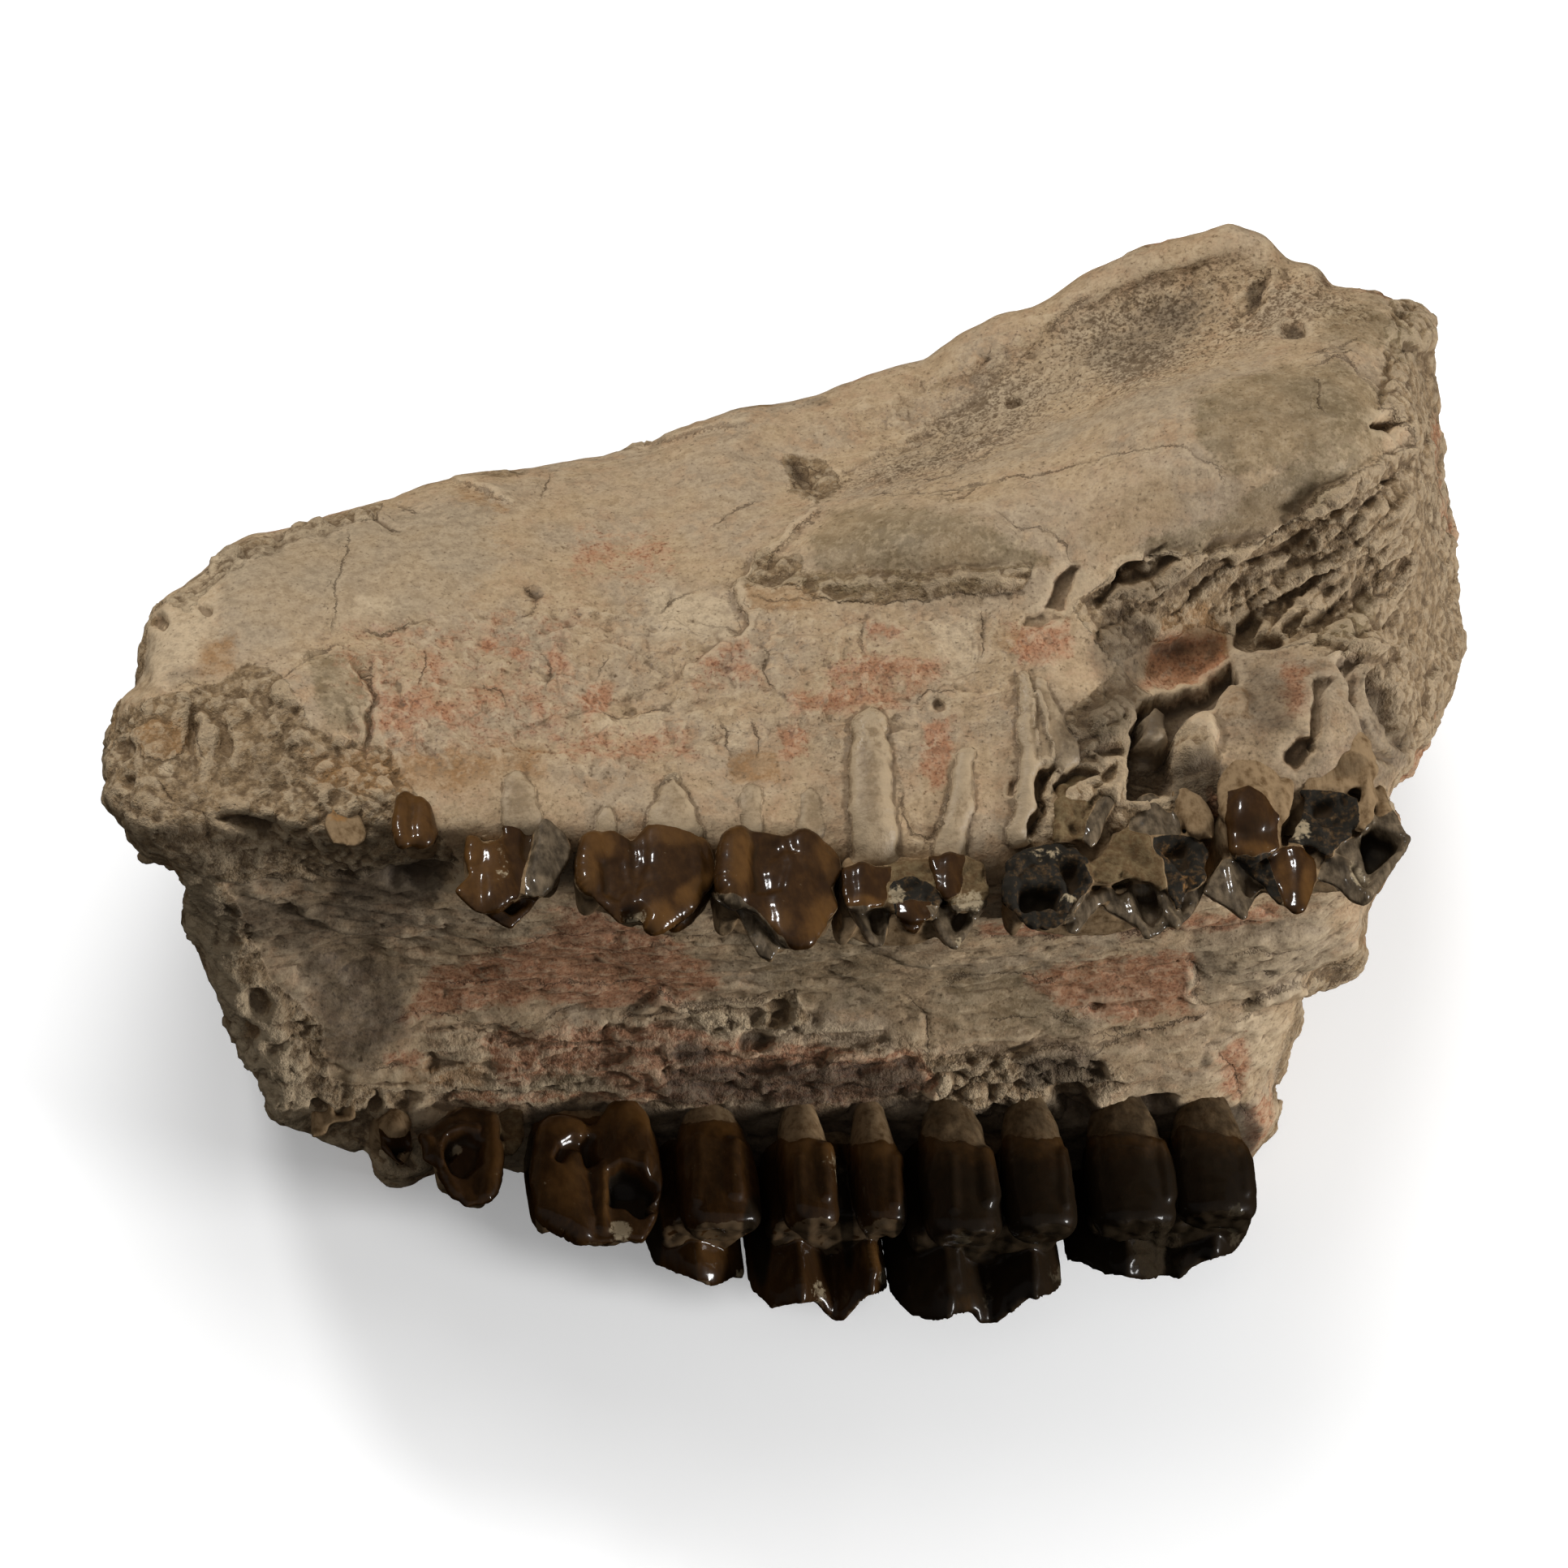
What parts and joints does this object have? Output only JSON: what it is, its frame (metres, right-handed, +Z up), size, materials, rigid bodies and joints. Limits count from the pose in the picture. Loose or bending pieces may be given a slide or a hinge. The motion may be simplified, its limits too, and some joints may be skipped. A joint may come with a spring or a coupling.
{
  "type": "fossil oreodont skull",
  "caption": "Front half of a fossil oreodont skull in its rock, lying on its right side, with worn brown upper teeth.",
  "frame": {"origin": "middle of the bottom of its box, on the surface it lies on", "axes": "+X from the snout back along the jaw, +Y towards the roof of the skull, +Z up, out of its left side"},
  "size_m": [0.146, 0.1027, 0.0725],
  "materials": {
    "bone": "dry, pale tan fossil bone and rock, smooth on the snout, chipped and rough at the back, with red stains",
    "enamel": "glossy, dark amber-brown fossil enamel over pale roots"
  },
  "bodies": {
    "root": {"skull": "bone", "left_canine": "enamel", "left_premolar_1": "enamel", "left_premolar_2": "enamel", "left_premolar_3": "enamel", "left_premolar_4": "enamel", "left_molar_1": "enamel", "left_molar_2": "enamel", "left_molar_3": "enamel", "right_canine": "enamel", "right_premolar_1": "enamel", "right_premolar_2": "enamel", "right_premolar_3": "enamel", "right_premolar_4": "enamel", "right_molar_1": "enamel", "right_molar_2": "enamel", "right_molar_3": "enamel"}
  },
  "joints": []
}
